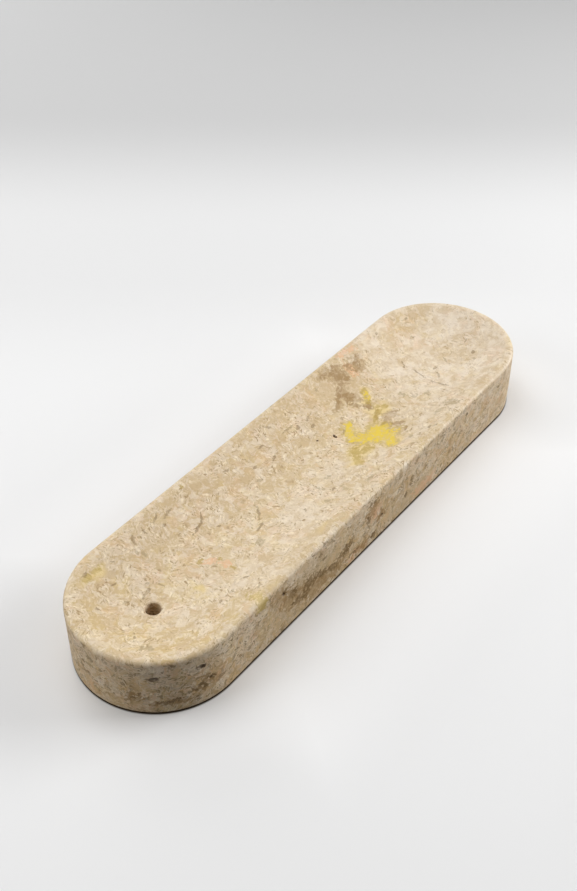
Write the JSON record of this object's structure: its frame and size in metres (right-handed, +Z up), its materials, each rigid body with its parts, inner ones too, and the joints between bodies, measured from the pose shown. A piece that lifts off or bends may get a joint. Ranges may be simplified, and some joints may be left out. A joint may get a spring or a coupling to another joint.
{
  "type": "incense stick holder",
  "caption": "Capsule-shaped stone block with a shallow ash dish along its top and a small blind hole near one end that holds an incense stick upright, standing on thin cork pads.",
  "frame": {"origin": "middle of the footprint, on the surface that the pads stand on", "axes": "+X along the length, away from the stick hole; -Y is the front long side; +Z is up"},
  "size_m": [0.23, 0.06, 0.0248],
  "materials": {
    "stone": "honed beige fossil limestone with tan mottling and an ochre patch",
    "cork": "pressed fine-grain cork",
    "glue": "pressure-sensitive glue film"
  },
  "bodies": {
    "root": {"stone_body": "stone", "cork_pad_hole_end_front": "cork", "cork_pad_hole_end_back": "cork", "cork_pad_plain_end_front": "cork", "cork_pad_plain_end_back": "cork", "glue_film_hole_end_front": "glue", "glue_film_hole_end_back": "glue", "glue_film_plain_end_front": "glue", "glue_film_plain_end_back": "glue"}
  },
  "joints": []
}
